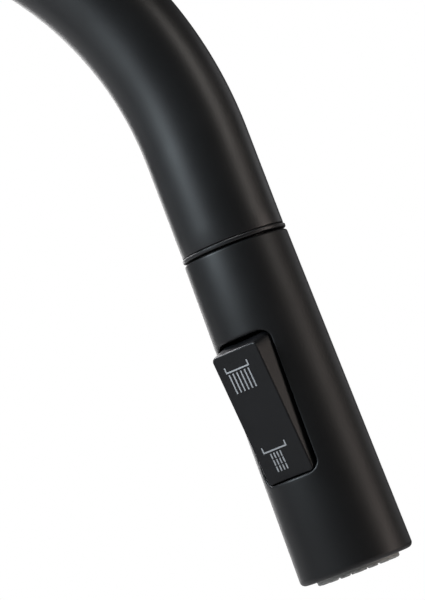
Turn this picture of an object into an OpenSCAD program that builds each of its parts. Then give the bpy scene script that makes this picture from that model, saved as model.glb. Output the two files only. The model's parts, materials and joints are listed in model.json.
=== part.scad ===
// Single-hole kitchen faucet with a pull-down spray wand.
// Frame: +Z up, +X along the spout, origin at the centre of the deck hole on the deck's top face.

/* [Neck] */
// Outside diameter of the gooseneck tube
neck_d = 30.5; // [28:0.5:32]
// Radius of the bend, measured on the tube's centreline
bend_r = 114; // [100:1:130]
// Angle between the wand's axis and plumb
tip_angle = 21; // [15:1:30]
// Straight length of tube after the bend
tip_straight = 29; // [27:1:34]
// Height of the highest point of the neck above the deck
faucet_h = 410; // [390:1:440]

/* [Wand] */
// Length of the wand's shell
wand_len = 96.6; // [96:0.1:100]
// Shell diameter at the dock
wand_top_d = 31; // [30.6:0.1:31.4]
// Shell diameter at the outlet
wand_face_d = 33.7; // [33.4:0.1:35]
// Number of nozzles in each ring of the spray face
nozzle_count = 16; // [12:1:18]

/* [Rocker] */
// Turn of the rocker around the wand's axis, from +X
rocker_azimuth = -126; // [-180:1:180]
// Length of the rocker's opening in the shell
rocker_slot_l = 42; // [41.8:0.1:43]
// Width of the rocker's opening in the shell
rocker_slot_w = 18.9; // [18.8:0.1:19.4]
// Tilt of the rocker from its middle position to either end
rocker_tilt = 6.7; // [5:0.1:7]

/* [Body] */
// Diameter of the body at its foot
body_foot_d = 51; // [50:0.5:54]
// Diameter of the body at the neck
body_top_d = 44; // [43:0.5:46]
// Height of the body's top above the deck
body_top_z = 138; // [134:1:150]
// Height of the lever's axis above the deck
lever_z = 62; // [60:1:63]
// Length of the lever rod outside its hub
lever_len = 85; // [60:1:95]

/* [Mounting] */
// Outside diameter of the threaded shank
shank_d = 33; // [32:0.5:34]
// Length of the shank below the deck
shank_drop = 62; // [55:1:75]
// Thickness of the deck that the nut clamps
deck_t = 30; // [10:1:34]

/* [Hidden] */
$fn = 96;
e = 0.01;                              // overlap that keeps cuts clean
lap = 0.4;                             // how far joined tube pieces run into each other
step = 0.02;                           // how much thinner a bent piece is than the straight it joins

// Heights of the base stack
gasket_t = 1.5;
base_ring_h = 6;
body_z = gasket_t + base_ring_h;
shank_top_z = 20;
block_h = 14;
block_top_z = shank_top_z + block_h;
line_offset = 8;                       // each water line's distance from the shank's axis
thread_r = shank_d / 2 - 0.3;
thread_play = 0.1;

// Neck
neck_r = neck_d / 2;
neck_wall = 1.2;
neck_bore_r = neck_r - neck_wall;
bend_z = faucet_h - neck_r - bend_r;
bend_angle = 180 - tip_angle;
neck_foot_z = body_top_z - 31.8;
socket_r = neck_r + 2.2;
socket_z = body_top_z - 34;
tip_x = bend_r * (1 + cos(tip_angle)) + tip_straight * sin(tip_angle);
tip_z = bend_z + bend_r * sin(tip_angle) - tip_straight * cos(tip_angle);

// Dock between neck and wand, measured down from the neck's end
collar_t = 1.35;
dock_gap = 0.6;
plug_r = 11;
plug_up = 15;                          // how far the plug stands above the shell
wand_drop = collar_t + dock_gap;

// Hose
hose_r = 5.25;
hose_bore_r = 3.4;
hose_sweep_r = 40;                     // bend radius of the hose inside the body
hose_sweep = acos(1 - line_offset / (2 * hose_sweep_r));
hose_sweep_h = 2 * hose_sweep_r * sin(hose_sweep);
hose_sweep_z = lever_z + 10;
hose_split_z = body_top_z - 28;        // fixed hose below, hose that turns with the neck above
hose_tail_z = -shank_drop - 4;
lead_angle = 9.5;                      // stretch of hose in the bend that pays out
coupling_len = 26;

// Wand shell
shell_wall = 1.6;
wand_r0 = wand_top_d / 2;
wand_r1 = wand_face_d / 2;
face_step = 0.3;                       // face ring's depth inside the rim

// Rocker: pivot depth, face height and sizes at the middle position
pivot_r = 9;
pivot_z = -25.1 - rocker_slot_l / 2;
rocker_face_r = 16.75;
rocker_face_l = 39.2;
rocker_face_w = 16.3;
rocker_face_shift = -0.35;             // the face sits this much nearer the outlet than the base
rocker_base_r = 9.45;
rocker_base_l = rocker_slot_l - 0.4;
rocker_base_w = rocker_slot_w - 0.5;
rocker_wall = 1.4;
pin_r = 1.25;
ear_gap = 3.5;
ear_t = 2.4;
spool_z = pivot_z - 15.9;
spool_bore_r = 3.2;
spool_out = rocker_tilt * PI / 180 * 15.9;   // spool's travel from the middle to either end

// Cartridge, measured outwards along the lever's axis
chamber_y = 8.5;
chamber_r = 13.1;
port_x = 6.8;                          // hot and cold ports, to each side of the axis
port_up = 5;                           // and this far above it
ball_arm = 9.5;
lever_pivot_y = 34.5;
lever_tilt = 22;
disc_travel = ball_arm * lever_tilt * PI / 180;
boss_r = 16.2;
boss_y = 40;
boss_mouth_r = 14.6;
bonnet_r = 18.5;
hub_cavity_r = 19;
hub_r = 21.5;
hub_face_y = 57;
rod_y = 49;

BLACK = "#26272a";
DARK = "#1b1b1d";
GREY = "#8b8c8a";
BRASS = "#b9995a";
STEEL = "#b8bcc0";
POM = "#d9d9d4";
RUBBER = "#2d2d2f";
CERAMIC = "#ece9e0";

// ---- Shared shapes ----

// Round tube or ring standing on z
module ring(outer, inner, z, h) {
    translate([0, 0, z])
        difference() {
            cylinder(r = outer, h = h);
            translate([0, 0, -e]) cylinder(r = inner, h = h + 2 * e);
        }
}

// Solid disc or rod standing on z
module rod(r, z, h) {
    translate([0, 0, z]) cylinder(r = r, h = h);
}

// O-ring lying at height z
module o_ring(radius, minor, z) {
    translate([0, 0, z]) rotate_extrude() translate([radius, 0]) circle(r = minor, $fn = 24);
}

// Hexagonal drive socket, cut downwards from z
module hex_socket(across, z, depth) {
    translate([0, 0, z - depth]) cylinder(d = across / cos(30), h = depth + 1, $fn = 6);
}

// Block with rounded corners seen along X, centred on y and z
module slot_block(x0, x1, w, l, r) {
    translate([x0, 0, 0])
        rotate([0, 90, 0])
            union() {
                translate([-l / 2 + r, -w / 2, 0]) cube([l - 2 * r, w, x1 - x0]);
                translate([-l / 2, -w / 2 + r, 0]) cube([l, w - 2 * r, x1 - x0]);
                for (a = [-1, 1], b = [-1, 1])
                    translate([a * (l / 2 - r), b * (w / 2 - r), 0]) cylinder(r = r, h = x1 - x0);
            }
}

// Drafted block for the rocker, from its base outline to its face outline, which is shifted along z
module drafted_block(x0, w0, l0, r0, x1, w1, l1, r1, shift) {
    skin = 0.1;
    hull() {
        for (a = [-1, 1], b = [-1, 1]) {
            translate([x0, b * (w0 / 2 - r0), a * (l0 / 2 - r0)])
                rotate([0, 90, 0]) cylinder(r = r0, h = skin, $fn = 32);
            translate([x1 - skin, b * (w1 / 2 - r1), a * (l1 / 2 - r1) + shift])
                rotate([0, 90, 0]) cylinder(r = r1, h = skin, $fn = 32);
        }
    }
}

// Solid part of the neck's bend, between two angles counted from the riser
module bend(r, from, to) {
    translate([bend_r, 0, bend_z])
        rotate([90, 0, 0])
            rotate([0, 0, 180 - to])
                rotate_extrude(angle = to - from) translate([bend_r, 0]) circle(r = r);
}

// Solid neck-shaped rod of a given radius, from a height on the riser to a depth below the bend
module neck_path(r, z, straight) {
    union() {
        rod(r, z, bend_z - z + lap);
        bend(r - step, 0, bend_angle);
        at_tip() rod(r, tip_straight - straight, straight + lap);
    }
}

// Frames: the neck's end, the wand's top, the rocker's outward side, the rocker's pivot, the lever's axis
module at_tip() {
    translate([tip_x, 0, tip_z]) rotate([0, -tip_angle, 0]) children();
}

module at_wand() {
    at_tip() translate([0, 0, -wand_drop]) children();
}

module at_rocker_side() {
    at_wand() rotate([0, 0, rocker_azimuth]) children();
}

module at_rocker() {
    at_rocker_side() translate([pivot_r, 0, pivot_z]) rotate([0, rocker_tilt, 0]) children();
}

module at_lever_axis() {
    translate([0, 0, lever_z]) rotate([-90, 0, 0]) children();
}

// ---- Base and mounting ----

module deck_gasket() {
    color(RUBBER) ring(26, shank_d / 2 + 0.5, 0, gasket_t);
}

module base_ring() {
    edge = 1.2;
    color(BLACK)
        translate([0, 0, gasket_t])
            rotate_extrude()
                polygon([[17, 0], [27, 0], [27, base_ring_h - edge],
                    for (a = [15:15:75]) [27 - edge * (1 - cos(a)), base_ring_h - edge * (1 - sin(a))],
                    [27 - edge, base_ring_h], [17, base_ring_h]]);
}

module body_outside() {
    top_edge = 1;
    body_r0 = body_foot_d / 2;
    body_r1 = body_top_d / 2;
    rotate_extrude()
        polygon([[0, body_z], [body_r0, body_z], [body_r1, body_top_z - top_edge],
            [body_r1 - top_edge, body_top_z], [0, body_top_z]]);
    at_lever_axis() rod(boss_r, 0, boss_y);
}

module valve_body() {
    passage_r = 3.5;
    color(BLACK)
        difference() {
            body_outside();
            rod(thread_r, body_z - e, block_top_z - body_z + e);
            for (x = [-line_offset, line_offset])
                translate([x, 0, 0]) rod(passage_r, block_top_z - e, lever_z + 8 - block_top_z);
            translate([0, line_offset, 0]) rod(passage_r, block_top_z - e, lever_z - 10 - block_top_z);
            translate([0, -line_offset, 0]) rod(7, block_top_z - e, lever_z + 22 - block_top_z);
            rod(12.5, lever_z + 19.5, body_top_z);
            rod(socket_r, socket_z, body_top_z);
            at_lever_axis() {
                rod(chamber_r, chamber_y, boss_y);
                rod(boss_mouth_r, 35.5, boss_y);
                for (x = [-port_x, port_x]) translate([x, -port_up, 0]) rod(2.8, 0, chamber_y + 1);
            }
            translate([0, 0, neck_foot_z + 2.6]) rotate([0, -90, 0]) rod(2.5, 14, body_foot_d);
        }
}

// Plain where the deck's hole sits on it, threaded above and below
module shank() {
    color(BRASS)
        difference() {
            union() {
                rod(thread_r, -shank_drop, shank_drop + shank_top_z);
                rod(shank_d / 2, -deck_t, deck_t);
            }
            rod(14, -shank_drop - 1, shank_drop + shank_top_z + 2);
        }
}

module inlet_block() {
    thread_depth = 10;
    color(BRASS)
        difference() {
            rod(thread_r, shank_top_z, block_h);
            for (p = [[-line_offset, 0], [line_offset, 0], [0, line_offset]])
                translate([p.x, p.y, 0]) {
                    rod(5, shank_top_z - e, thread_depth + e);
                    rod(3.5, shank_top_z, block_h + e);
                }
            translate([0, -line_offset, 0]) rod(6.2, shank_top_z - e, block_h + 2 * e);
        }
}

module outlet_pipe() {
    bottom = -shank_drop - 24;
    bead_z = -shank_drop - 6;
    color(STEEL)
        translate([0, line_offset, 0])
            difference() {
                union() {
                    rod(5, bottom, shank_top_z + 10 - bottom);
                    rod(6.3, bead_z, 2);
                }
                rod(3.8, bottom - e, 130);
                ring(6, 4.4, -shank_drop - 20, 1.4);
            }
}

module outlet_seal() {
    color(RUBBER) translate([0, line_offset, 0]) o_ring(4.68, 0.31, -shank_drop - 19.3);
}

module under_deck_gasket() {
    color(RUBBER) ring(26, shank_d / 2 + 0.3, -deck_t - 2, 2);
}

module clamp_washer() {
    color(STEEL) ring(27, shank_d / 2 + 0.3, -deck_t - 4, 2);
}

module mounting_nut() {
    top = -deck_t - 4;
    wings = 6;
    color(BRASS)
        difference() {
            union() {
                rod(24.5, top - 5, 5);
                rod(19.5, top - 13, 13);
                for (i = [0:wings - 1])
                    rotate([0, 0, (i + 0.5) * 360 / wings])
                        translate([18, -2, top - 13]) cube([5.5, 4, 10]);
            }
            rod(thread_r + thread_play, top - 14, 16);
            for (a = [0, 120, 240]) rotate([0, 0, a]) translate([22, 0, 0]) rod(1.65, top - 6, 7);
        }
}

module nut_screws() {
    top = -deck_t - 4;
    color(STEEL)
        for (a = [0, 120, 240])
            rotate([0, 0, a])
                translate([22, 0, 0])
                    difference() {
                        union() {
                            rod(1.6, top - 9, 9);
                            rod(2.4, top - 11, 3);
                        }
                        translate([0, 0, top - 11]) cylinder(d = 2.9, h = 3, center = true, $fn = 6);
                    }
}

// ---- Hose ----

// Half of the hose's S-bend, solid
module hose_bend(r, half, extra) {
    translate([0, half ? -hose_sweep_r : hose_sweep_r - line_offset, hose_sweep_z + half * hose_sweep_h])
        rotate([90, 0, 90])
            rotate([0, 0, half ? -hose_sweep - extra : 180 - hose_sweep])
                rotate_extrude(angle = hose_sweep + extra) translate([hose_sweep_r, 0]) circle(r = r);
}

// Solid rod along the lower hose: straight, then an S-bend onto the neck's axis
module lower_path(r, over) {
    top = hose_sweep_z + hose_sweep_h;
    union() {
        translate([0, -line_offset, 0]) rod(r, hose_tail_z - over, hose_sweep_z - hose_tail_z + over + lap);
        hose_bend(r - step, 0, 0);
        hose_bend(r - 2 * step, 1, 0.6);
        rod(r, top - lap, hose_split_z - top + lap + over);
    }
}

module hose_lower() {
    color("#3a3b3d")
        difference() {
            lower_path(hose_r, 0);
            lower_path(hose_bore_r, 1);
        }
}

module hose_coupling() {
    color(BRASS)
        translate([0, -line_offset, hose_tail_z - coupling_len])
            difference() {
                union() {
                    rod(7.4, 0, coupling_len - 6);
                    rod(6.6, coupling_len - 6, 10);
                }
                rod(5.05, -e, 14);
                rod(hose_bore_r, 0, coupling_len + e);
                rod(hose_r, coupling_len, 5);
            }
}

module hose_upper() {
    color("#3a3b3d")
        difference() {
            union() {
                rod(hose_r, hose_split_z, bend_z - hose_split_z + lap);
                bend(hose_r - step, 0, bend_angle - lead_angle);
            }
            union() {
                rod(hose_bore_r, hose_split_z - 1, bend_z - hose_split_z + 1 + lap);
                bend(hose_bore_r - step, 0, bend_angle - lead_angle + 1);
            }
        }
}

module hose_lead() {
    end_z = 21.4 - wand_drop;
    color("#3a3b3d")
        difference() {
            union() {
                bend(hose_r - step, bend_angle - lead_angle, bend_angle);
                at_tip() rod(hose_r, end_z, tip_straight - end_z + lap);
            }
            union() {
                bend(hose_bore_r - step, bend_angle - lead_angle - 1, bend_angle);
                at_tip() rod(hose_bore_r, end_z - 1, tip_straight - end_z + 1 + lap);
            }
        }
}

module hose_ferrule() {
    color(STEEL) at_wand() ring(6.6, hose_r, 21.4, 9.2);
}

module hose_spigot() {
    color(BRASS)
        at_wand()
            difference() {
                union() {
                    rod(3.85, 6, 14.4);
                    rod(5.5, 20.4, 1);
                    rod(hose_bore_r, 21.4, 8);
                }
                rod(2.4, 5, 30);
                ring(5, 3.3, 9.5, 1);
            }
}

module spigot_o_ring() {
    color(RUBBER) at_wand() o_ring(3.62, 0.32, 10);
}

// ---- Neck ----

module neck_tube() {
    color(BLACK)
        difference() {
            neck_path(neck_r, neck_foot_z, tip_straight);
            neck_path(neck_bore_r, neck_foot_z - 1, tip_straight + 1);
        }
}

module neck_foot() {
    color(BRASS) {
        ring(socket_r - 0.3, neck_bore_r - 2.2, neck_foot_z - 2, 2);
        ring(neck_bore_r, neck_bore_r - 2.2, neck_foot_z, 30);
    }
}

module neck_set_screw() {
    color(STEEL)
        translate([0, 0, neck_foot_z + 2.6])
            rotate([0, -90, 0])
                difference() {
                    union() {
                        rod(2, neck_r + 0.3, 2);
                        rod(2.5, neck_r + 1.5, 5);
                    }
                    hex_socket(2.5, neck_r + 6.5, 2);
                }
}

module glide_ring_top() {
    color(DARK) {
        ring(socket_r, neck_r + 0.05, body_top_z - 6, 6);
        ring(socket_r + 0.7, neck_r + 0.05, body_top_z, 1.2);
    }
}

module glide_ring_bottom() {
    color(POM) ring(socket_r, neck_r + 0.05, neck_foot_z + 5.2, 6);
}

module dock_bushing() {
    color(DARK)
        at_tip()
            rotate_extrude()
                polygon([[plug_r + 0.8, 0], [neck_bore_r, 0], [neck_bore_r, 24], [plug_r + 0.8, 24],
                    [plug_r + 0.2, 23], [plug_r + 0.2, 1.2]]);
}

module dock_collar() {
    lip = 0.4;
    outer = neck_r + 0.3;
    color(BLACK)
        at_tip()
            rotate_extrude()
                polygon([[plug_r + 0.8, 0], [plug_r + 0.8, -collar_t], [outer - lip, -collar_t],
                    [outer, -collar_t + lip], [outer, -lip], [outer - lip, 0]]);
}

// ---- Cartridge and lever ----

module base_seals() {
    color(RUBBER)
        at_lever_axis()
            for (x = [-port_x, port_x]) translate([x, -port_up, 0]) ring(4.2, 3, chamber_y, 1);
}

module cartridge_base() {
    color(POM)
        at_lever_axis()
            difference() {
                rod(12.5, chamber_y + 1, 3.5);
                for (x = [-port_x, port_x]) translate([x, -port_up, 0]) rod(2.8, chamber_y, 5);
                translate([0, 6, 0]) rod(3, chamber_y, 5);
            }
}

module fixed_disc() {
    color(CERAMIC)
        at_lever_axis()
            difference() {
                rod(10.8, 13, 3);
                for (x = [-port_x, port_x]) translate([x, -port_up, 0]) rod(2.6, 12, 5);
                translate([0, 6, 0]) rod(3, 12, 5);
            }
}

module moving_disc() {
    color(CERAMIC)
        at_lever_axis()
            translate([0, disc_travel / 2, 0])
                difference() {
                    rod(8.8, 16.02, 3);
                    translate([0, 1.3, 0]) rod(6.2, 15, 2.6);
                }
}

module disc_carrier() {
    color(DARK)
        at_lever_axis()
            difference() {
                translate([0, disc_travel / 2, 0]) rod(8.8, 19.02, 7.4);
                rod(3, 21.8, 6);
            }
}

module cartridge_housing() {
    color(POM)
        at_lever_axis()
            difference() {
                union() {
                    rod(12.5, 13, 27.8);
                    rod(14.2, 35.5, 1.5);
                }
                rod(11.2, 13 - e, 25.8);
                rod(8.6, 38, 4);
                ring(13, 11.9, 32, 1.3);
                for (x = [-1, 1])
                    translate([x * 8 - 2, -14, 13 - e]) cube([4, 28, 5]);
            }
}

module housing_o_ring() {
    color(RUBBER) at_lever_axis() o_ring(12.48, 0.56, 32.65);
}

module rotor() {
    color(DARK)
        at_lever_axis()
            difference() {
                union() {
                    rod(11, 27.3, 11.2);
                    rod(8.4, 38, 3);
                }
                translate([-3.6, -7.4, 27]) cube([7.2, 14.8, 15]);
                translate([-12, 0, lever_pivot_y]) rotate([0, 90, 0]) cylinder(r = 1.5, h = 24);
            }
}

module stem_pin() {
    color(STEEL)
        at_lever_axis()
            translate([-10, 0, lever_pivot_y]) rotate([0, 90, 0]) cylinder(r = 1.5, h = 20);
}

module stem() {
    color(BRASS)
        at_lever_axis()
            difference() {
                union() {
                    translate([0, 0, lever_pivot_y - ball_arm]) sphere(r = 2.8, $fn = 48);
                    rod(2.1, lever_pivot_y - ball_arm, 6);
                    translate([-3.5, -3.2, lever_pivot_y - 4]) cube([7, 6.4, 24.5]);
                }
                translate([-5, 0, lever_pivot_y]) rotate([0, 90, 0]) cylinder(r = 1.56, h = 10);
            }
}

module retaining_nut() {
    color(BRASS)
        at_lever_axis()
            difference() {
                rod(boss_mouth_r, 37, 5);
                rod(12.6, 36, 4.9);
                rod(9.8, 36, 7);
                for (a = [0, 90]) rotate([0, 0, a]) translate([-15, -1.5, 40.5]) cube([30, 3, 3]);
            }
}

module bonnet() {
    color(BLACK)
        at_lever_axis()
            difference() {
                intersection() {
                    translate([0, 0, lever_pivot_y]) sphere(r = bonnet_r);
                    rod(20, 33, 20);
                }
                rod(boss_r + 0.05, 32, boss_y - 32);
                intersection() {
                    translate([0, 0, lever_pivot_y]) sphere(r = bonnet_r - 1.5);
                    rod(20, boss_y - e, 20);
                }
                rod(14.2, 40, 20);
            }
}

module handle_hub() {
    face_edge = 1.5;
    grub_y = 51.5;
    color(BLACK)
        at_lever_axis()
            difference() {
                union() {
                    difference() {
                        rotate_extrude()
                            polygon([[0, lever_pivot_y], [hub_r, lever_pivot_y],
                                for (a = [0:15:90])
                                    [hub_r - face_edge * (1 - cos(a)), hub_face_y - face_edge * (1 - sin(a))],
                                [0, hub_face_y]]);
                        translate([0, 0, lever_pivot_y]) sphere(r = hub_cavity_r);
                    }
                    rod(6, 46, 9);
                }
                translate([-3.55, -3.25, 45]) cube([7.1, 6.5, 10]);
                translate([0, 0, grub_y]) rotate([-90, 0, 0]) rod(2.5, 3, hub_r);
                translate([0, 0, grub_y]) rotate([-90, 0, 0]) rod(3, hub_r - 2.6, 4);
                translate([0, 0, rod_y]) rotate([90, 0, 0]) rod(4.5, 14, hub_r);
            }
}

module lever_rod() {
    root = 16.4;
    reach = hub_r + lever_len;
    tip_r = 3.7;
    color(BLACK)
        at_lever_axis()
            translate([0, 0, rod_y])
                rotate([90, 0, 0]) {
                    rod(4.5, root, hub_r - root);
                    translate([0, 0, hub_r]) cylinder(r1 = 4.5, r2 = tip_r, h = lever_len - tip_r);
                    translate([0, 0, reach - tip_r]) sphere(r = tip_r, $fn = 48);
                }
}

module handle_screw() {
    color(STEEL)
        at_lever_axis()
            translate([0, 0, 51.5])
                rotate([-90, 0, 0])
                    difference() {
                        rod(2.5, 3.3, 4.6);
                        hex_socket(2.5, 7.9, 2);
                    }
}

module index_cap() {
    color(STEEL)
        at_lever_axis()
            translate([0, 0, 51.5]) rotate([-90, 0, 0]) rod(2.95, hub_r - 2.6, 2.5);
}

// ---- Wand ----

module wand_shell() {
    rim = 1.6;
    top_edge = 0.6;
    // Outer radius of the shell at a depth below its top
    function shell_r(z) = wand_r0 + (wand_r1 - wand_r0) * -z / wand_len;
    color(BLACK)
        difference() {
            at_wand()
                rotate_extrude()
                    polygon([[plug_r + 0.1, 0], [wand_r0 - top_edge, 0], [wand_r0, -top_edge],
                        [shell_r(rim - wand_len), rim - wand_len],
                        for (a = [15:15:90])
                            [wand_r1 - rim * (1 - cos(a)), rim * (1 - sin(a)) - wand_len],
                        [wand_r1 - rim - 0.1, face_step - wand_len],
                        [wand_r0 - shell_wall, -2], [plug_r + 0.1, -2]]);
            at_rocker_side()
                translate([0, 0, pivot_z]) slot_block(pivot_r - 4, 30, rocker_slot_w, rocker_slot_l, 3);
        }
}

module dock_plug() {
    color(DARK)
        at_wand()
            difference() {
                union() {
                    rod(12.8, -6, 4);
                    rod(plug_r, -2 - e, 12 + e);
                    translate([0, 0, 10]) cylinder(r1 = plug_r, r2 = plug_r - 0.7, h = plug_up - 10);
                    rod(9.5, -12, 6 + e);
                }
                rod(7.5, 2, 20);
                rod(5.1, -13, 16);
            }
}

module inlet_filter() {
    color(STEEL)
        at_wand()
            difference() {
                rod(7.4, 2, 0.7);
                for (i = [-2:2], j = [-2:2])
                    if (i * i + j * j <= 5) translate([i * 2, j * 2, 0]) rod(0.7, 1, 3);
            }
}

module hose_connector() {
    color(BRASS)
        at_wand()
            difference() {
                union() {
                    rod(7.4, 3, 12);
                    rod(9, plug_up, 5);
                }
                rod(3.95, 2, 20);
            }
}

module check_valve_body() {
    color(POM)
        at_wand()
            difference() {
                rod(5.1, -11.8, 13.6);
                rod(4.2, -10.8, 11.3);
                rod(2.6, 0, 3);
                rod(1.1, -13, 4);
                for (a = [0:90:270]) rotate([0, 0, a]) translate([2.7, 0, 0]) rod(0.9, -13, 4);
            }
}

module check_poppet() {
    color(BRASS)
        at_wand() {
            rod(3.6, -0.7, 1.1);
            rod(1, -11.2, 10.6);
        }
}

// Coil spring around the poppet's stem, between the cage floor and the poppet's head
module check_spring() {
    turns = 5;
    sides = 8;
    steps = 14;
    wire_r = 0.28;
    coil_r = 1.9;
    low = -10.4;
    high = -1.05;
    count = turns * steps;
    pts = [for (i = [0:count], k = [0:sides - 1])
        let (a = i * 360 / steps, b = k * 360 / sides, r = coil_r + wire_r * cos(b))
            [r * cos(a), r * sin(a), low + (high - low) * i / count + wire_r * sin(b)]];
    faces = [
        [for (k = [0:sides - 1]) k],
        [for (k = [0:sides - 1]) count * sides + sides - 1 - k],
        for (i = [0:count - 1], k = [0:sides - 1])
            let (n = (k + 1) % sides)
                [i * sides + k, (i + 1) * sides + k, (i + 1) * sides + n, i * sides + n]];
    color(STEEL) at_wand() polyhedron(pts, faces);
}

module waterway() {
    duct_x = -4.5;
    color(DARK)
        at_rocker_side()
            difference() {
                union() {
                    rod(12.6, -16, 3.9);
                    translate([duct_x, 0, 0]) rod(5.5, -78, 64);
                    translate([-10.8, -6.2, spool_z - 6]) cube([17, 12.4, 12]);
                    rod(13, -80, 4);
                    for (s = [-1, 1])
                        translate([-4, s > 0 ? ear_gap : -ear_gap - ear_t, pivot_z - 3])
                            cube([pivot_r + 6.2, ear_t, 6]);
                }
                rod(6, -14.2, 3);
                translate([duct_x, 0, 0]) rod(3.2, spool_z, -13 - spool_z);
                translate([-9.6, 0, spool_z]) rotate([0, 90, 0]) cylinder(r = spool_bore_r, h = 20);
                for (p = [[-8, 1.6], [2.5, 2]]) translate([p.x, 0, 0]) rod(p.y, -81, spool_z + 81);
                translate([pivot_r, -10, pivot_z]) rotate([-90, 0, 0]) cylinder(r = pin_r, h = 20);
            }
}

// Radial positions of the spool's lands at rest, inner end first
land_x = [-7.2, -1.2, 3.6];
land_w = 2;

module at_spool() {
    at_rocker_side() translate([0, 0, spool_z]) rotate([0, 90, 0]) children();
}

module diverter_spool() {
    flange_gap = 1.9;
    plate_x = pivot_r - spool_out;
    color(POM)
        at_spool()
            difference() {
                union() {
                    rod(1.5, land_x[0], plate_x + 2.2 - land_x[0]);
                    for (x = land_x) rod(spool_bore_r - 0.1, x, land_w);
                    rod(2.3, plate_x + flange_gap / 2, 1.2);
                    rod(2.3, plate_x - flange_gap / 2 - 1, 1);
                }
                for (x = land_x) ring(4, 2.4, x + 0.5, 1);
            }
}

module spool_seals() {
    color(RUBBER) at_spool() for (x = land_x) o_ring(2.78, 0.37, x + 1);
}

// Rocker in its own frame: pivot at the origin, X outwards, Z towards the neck
module rocker_button() {
    face_x = rocker_face_r - pivot_r;
    base_x = rocker_base_r - pivot_r;
    fork_z = spool_z - pivot_z;
    color("#1f2022")
        at_rocker()
            difference() {
                union() {
                    difference() {
                        drafted_block(base_x, rocker_base_w, rocker_base_l, 2.8,
                            face_x, rocker_face_w, rocker_face_l, 1.2, rocker_face_shift);
                        drafted_block(base_x - 1, rocker_base_w - 2 * rocker_wall,
                            rocker_base_l - 2 * rocker_wall, 2,
                            face_x - rocker_wall, rocker_face_w - 2 * rocker_wall,
                            rocker_face_l - 2 * rocker_wall, 0.8, rocker_face_shift);
                    }
                    translate([-2.6, -3.3, -3]) cube([face_x + 1.6, 6.6, 6]);
                    for (s = [-1, 1])
                        translate([-0.5, s > 0 ? 2.7 : -3.7, fork_z - 2]) cube([face_x - 0.5, 1, 4]);
                    translate([-0.5, -3.7, fork_z - 2]) cube([1, 7.4, 4]);
                }
                translate([0, -5, 0]) rotate([-90, 0, 0]) cylinder(r = pin_r + 0.05, h = 10);
                translate([-1, -1.85, fork_z - 3]) cube([2, 3.7, 6]);
            }
}

module rocker_pin() {
    color(STEEL)
        at_rocker_side()
            translate([pivot_r, -ear_gap - ear_t, pivot_z])
                rotate([-90, 0, 0]) cylinder(r = pin_r, h = 2 * (ear_gap + ear_t));
}

// ---- Spray face ----

module spray_body() {
    color(DARK)
        at_wand()
            difference() {
                rod(13.6, -93.4, 13.4);
                ring(12.6, 9.6, -94, 12);
                rod(8.4, -94, 12);
                rotate([0, 0, rocker_azimuth])
                    for (p = [[-8, 1.6], [2.5, 2]]) translate([p.x, 0, 0]) rod(p.y, -83, 4);
                ring(15, 13, -92.2, 1.5);
            }
}

module face_o_ring() {
    color(RUBBER) at_wand() o_ring(13.95, 0.74, -91.45);
}

module aerator_housing() {
    color(GREY) at_wand() {
        ring(8.3, 7, -96.4, 11);
        ring(7 + e, 6.2, -96.4, 0.5);
    }
}

module aerator_screen() {
    color(STEEL)
        at_wand()
            intersection() {
                rod(6.95, -95.8, 0.6);
                union() {
                    ring(7, 6.2, -95.8, 0.6);
                    for (i = [-5:5], turn = [0, 90])
                        rotate([0, 0, turn]) translate([i * 1.2 - 0.2, -7, -95.8]) cube([0.4, 14, 0.6]);
                }
            }
}

module nozzle_plate() {
    plate_bottom = -wand_len - 0.9;
    nozzle_h = 0.45;
    rings = [[10.65, 1.6, 0], [9.2, 0.55, 0.5]];
    color(GREY)
        at_wand()
            difference() {
                union() {
                    ring(12.3, 8.5, plate_bottom, -93.5 - plate_bottom);
                    for (row = rings, i = [0:nozzle_count - 1])
                        rotate([0, 0, -90 + (i + row[2]) * 360 / nozzle_count])
                            translate([row[0], 0, plate_bottom - nozzle_h])
                                cylinder(r1 = row[1] * 0.75, r2 = row[1], h = nozzle_h + 0.05, $fn = 24);
                }
                for (row = rings, i = [0:nozzle_count - 1])
                    rotate([0, 0, -90 + (i + row[2]) * 360 / nozzle_count])
                        translate([row[0], 0, plate_bottom - 1]) cylinder(r = 0.35, h = 6, $fn = 16);
            }
}

module face_ring() {
    color(DARK) at_wand() ring(wand_r1 - shell_wall - 0.25, 12.35, -wand_len + face_step, 2.8);
}

deck_gasket();
base_ring();
valve_body();
shank();
inlet_block();
outlet_pipe();
outlet_seal();
hose_lower();
hose_coupling();
neck_set_screw();
glide_ring_top();
glide_ring_bottom();
base_seals();
cartridge_base();
fixed_disc();
cartridge_housing();
housing_o_ring();
retaining_nut();
bonnet();
under_deck_gasket();
clamp_washer();
mounting_nut();
nut_screws();
rotor();
stem_pin();
moving_disc();
disc_carrier();
stem();
handle_hub();
lever_rod();
handle_screw();
index_cap();
neck_tube();
neck_foot();
dock_bushing();
dock_collar();
hose_upper();
hose_spigot();
spigot_o_ring();
hose_ferrule();
hose_lead();
wand_shell();
dock_plug();
inlet_filter();
hose_connector();
check_valve_body();
check_poppet();
check_spring();
waterway();
diverter_spool();
spool_seals();
rocker_button();
rocker_pin();
spray_body();
aerator_housing();
aerator_screen();
nozzle_plate();
face_ring();
face_o_ring();
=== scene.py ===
import json
from math import acos, asin, cos, pi, radians, sin, sqrt, tan

import bmesh
import bpy
from mathutils import Matrix, Vector


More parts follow.
